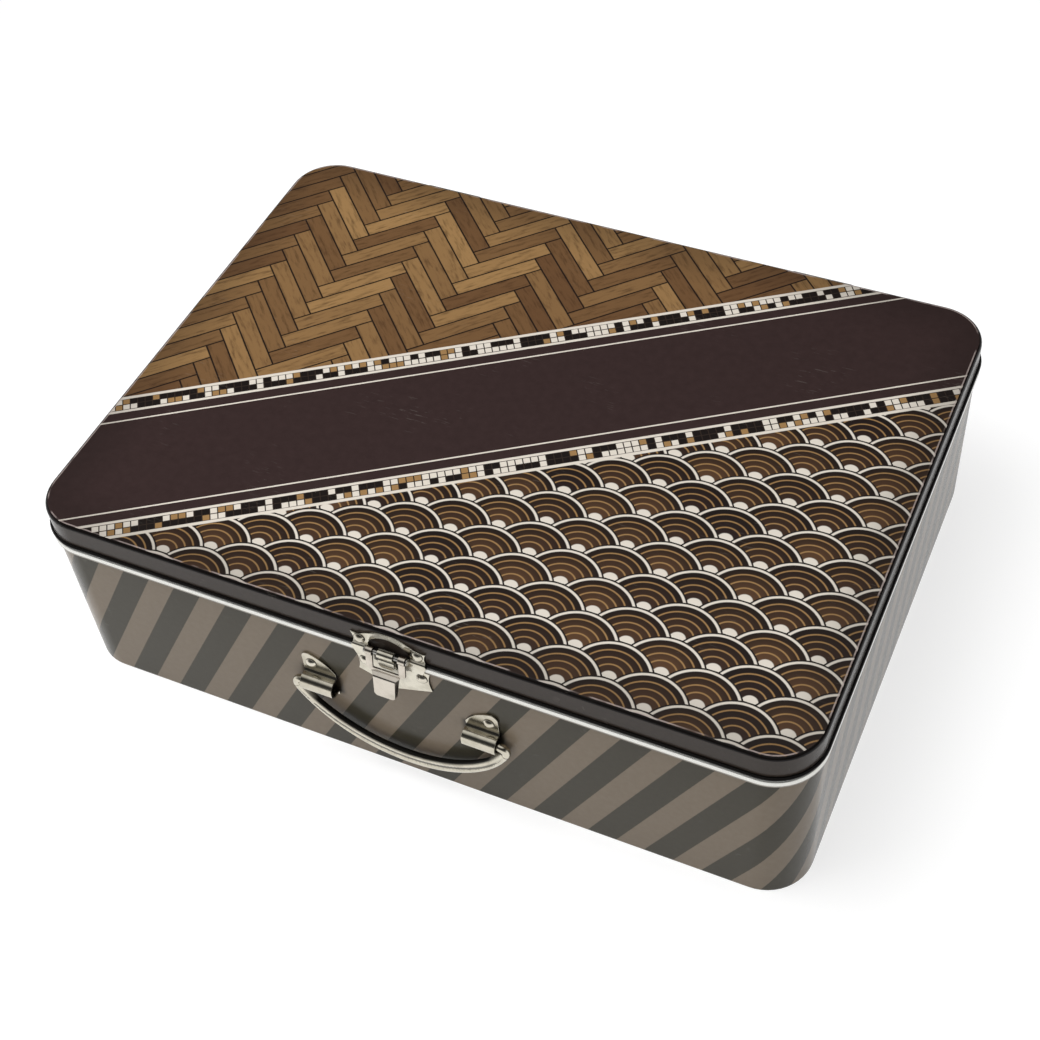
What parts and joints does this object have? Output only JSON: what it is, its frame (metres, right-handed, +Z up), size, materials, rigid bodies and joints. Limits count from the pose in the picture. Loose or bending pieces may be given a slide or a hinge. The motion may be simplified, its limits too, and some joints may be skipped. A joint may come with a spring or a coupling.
{
  "type": "lunch box",
  "caption": "Rectangular sheet-metal lunch box with rounded corners, a hinged shallow lid, a front snap hasp and a folding bail handle between riveted ears.",
  "frame": {"origin": "middle of the footprint's bounding box, on the surface that the box stands on", "axes": "+X along the long side, to the right seen from the latch; -Y towards the latch side; +Z up, towards the lid"},
  "size_m": [0.3142, 0.2444, 0.09],
  "materials": {
    "striped_wall": "satin lithographed diagonal stripes, bare rolled bead",
    "bare_tin": "bright tin plate",
    "printed_lid": "satin lithographed print in browns and cream",
    "nickel_ears": "aged nickel plate",
    "nickel_latch": "aged nickel plate",
    "nickel_hinges": "aged nickel plate",
    "nickel_handle": "aged nickel plate",
    "nickel_rivets": "aged nickel plate",
    "pin_steel": "drawn wire"
  },
  "bodies": {
    "body": {"body_wall": "striped_wall", "bottom_panel": "bare_tin", "handle_ear_left": "nickel_ears", "handle_ear_right": "nickel_ears", "handle_ear_rivets": "nickel_rivets", "latch_catch_plate": "nickel_latch", "latch_catch_rivets": "nickel_rivets", "hinge_body_leaf_left": "nickel_hinges", "hinge_body_leaf_right": "nickel_hinges", "hinge_body_rivets": "nickel_rivets", "hinge_pin_left": "pin_steel", "hinge_pin_right": "pin_steel"},
    "lid": {"lid_shell": "printed_lid", "latch_hasp_plate": "nickel_latch", "latch_plate_rivets": "nickel_rivets", "hasp_pin": "pin_steel", "hinge_lid_leaf_left": "nickel_hinges", "hinge_lid_leaf_right": "nickel_hinges", "hinge_lid_rivets": "nickel_rivets"},
    "hasp": {"latch_hasp": "nickel_latch"},
    "handle": {"carry_handle": "nickel_handle"}
  },
  "joints": [
    {"name": "lid_hinge", "type": "hinge", "parent": "body", "child": "lid", "pos_m": [0, 0.12023, 0.0774], "axis": [-1, 0, 0], "range_deg": [0, 180]},
    {"name": "hasp_swing", "type": "hinge", "parent": "lid", "child": "hasp", "pos_m": [0, -0.11612, 0.0805], "axis": [-1, 0, 0], "range_deg": [-10, 120]},
    {"name": "handle_swing", "type": "hinge", "parent": "body", "child": "handle", "pos_m": [0, -0.11592, 0.04438], "axis": [-1, 0, 0], "range_deg": [0, 140]}
  ]
}
